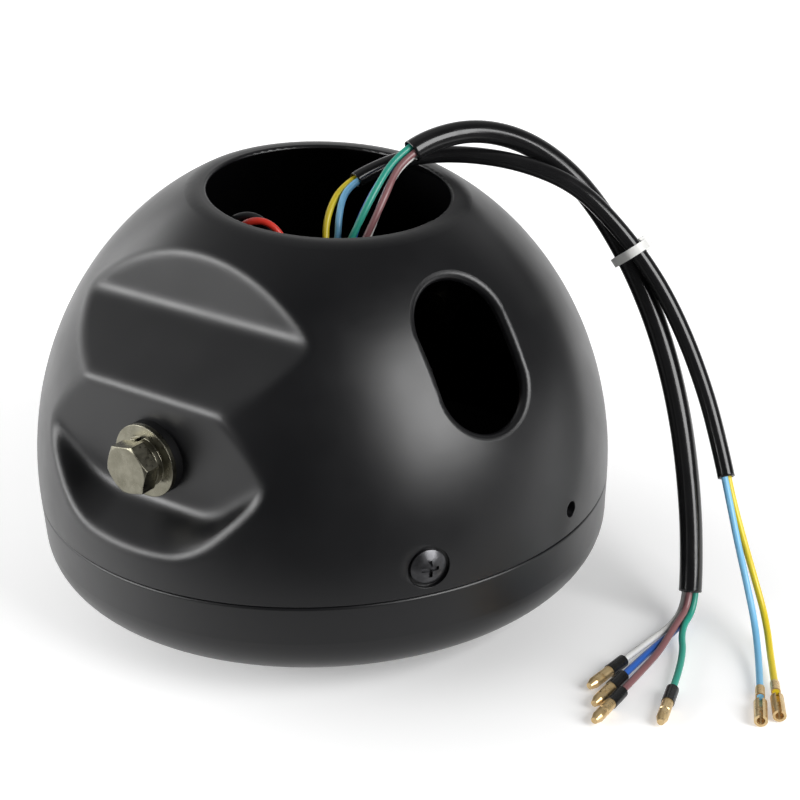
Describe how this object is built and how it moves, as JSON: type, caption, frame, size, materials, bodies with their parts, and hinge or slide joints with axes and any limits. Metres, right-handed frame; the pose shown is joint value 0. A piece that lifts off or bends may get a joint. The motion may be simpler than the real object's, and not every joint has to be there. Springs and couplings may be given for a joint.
{
  "type": "led headlight",
  "caption": "Round black motorbike headlight with recessed side flats for its mounting bolts, a rear cable opening, a slot in the underside and a sleeved wire harness.",
  "frame": {"origin": "on the lamp axis at the front face of the bezel, on which the lamp lies lens down", "axes": "+Z along the lamp axis from the lens to the rear opening, X along the two side bolts, -Y towards the lamp's underside with the cable slot and the drain hole"},
  "size_m": [0.18, 0.2541, 0.1435],
  "materials": {
    "shell_black": "satin",
    "lens_clear": "polished",
    "rubber_black": "matte",
    "reflector_silver": "polished",
    "steel_zinc": "satin",
    "steel_dark": "satin",
    "aluminium_grey": "satin",
    "led_yellow": "gloss",
    "case_black": "matte",
    "sleeve_black": "gloss",
    "brass_gold": "polished",
    "nylon_white": "satin",
    "wire_brown": "satin",
    "wire_blue": "satin",
    "wire_white": "satin",
    "wire_green": "satin",
    "wire_light_blue": "satin",
    "wire_yellow": "satin",
    "wire_red": "satin",
    "wire_black": "satin"
  },
  "bodies": {
    "root": {"bucket": "shell_black", "bezel": "shell_black", "lens": "lens_clear", "lens_gasket": "rubber_black", "reflector": "reflector_silver", "retaining_ring": "steel_zinc", "ring_screws": "steel_zinc", "heat_sink": "aluminium_grey", "led_board": "aluminium_grey", "led_chips": "led_yellow", "driver_case": "case_black", "wire_boot": "rubber_black", "rim_screws": "steel_dark", "side_bolts": "steel_zinc", "side_washers": "steel_zinc", "side_spacers": "rubber_black", "inner_washers": "steel_zinc", "side_nuts": "steel_zinc", "thick_sleeve": "sleeve_black", "thin_sleeve": "sleeve_black", "cable_tie": "nylon_white", "brown_wire": "wire_brown", "blue_wire": "wire_blue", "white_wire": "wire_white", "green_wire": "wire_green", "light_blue_wire": "wire_light_blue", "yellow_wire": "wire_yellow", "red_wire": "wire_red", "black_wire": "wire_black", "brown_bullet": "brass_gold", "brown_shrink_sleeve": "rubber_black", "blue_bullet": "brass_gold", "blue_shrink_sleeve": "rubber_black", "white_bullet": "brass_gold", "white_shrink_sleeve": "rubber_black", "green_bullet": "brass_gold", "green_shrink_sleeve": "rubber_black", "light_blue_receptacle": "brass_gold", "yellow_receptacle": "brass_gold"}
  },
  "joints": []
}
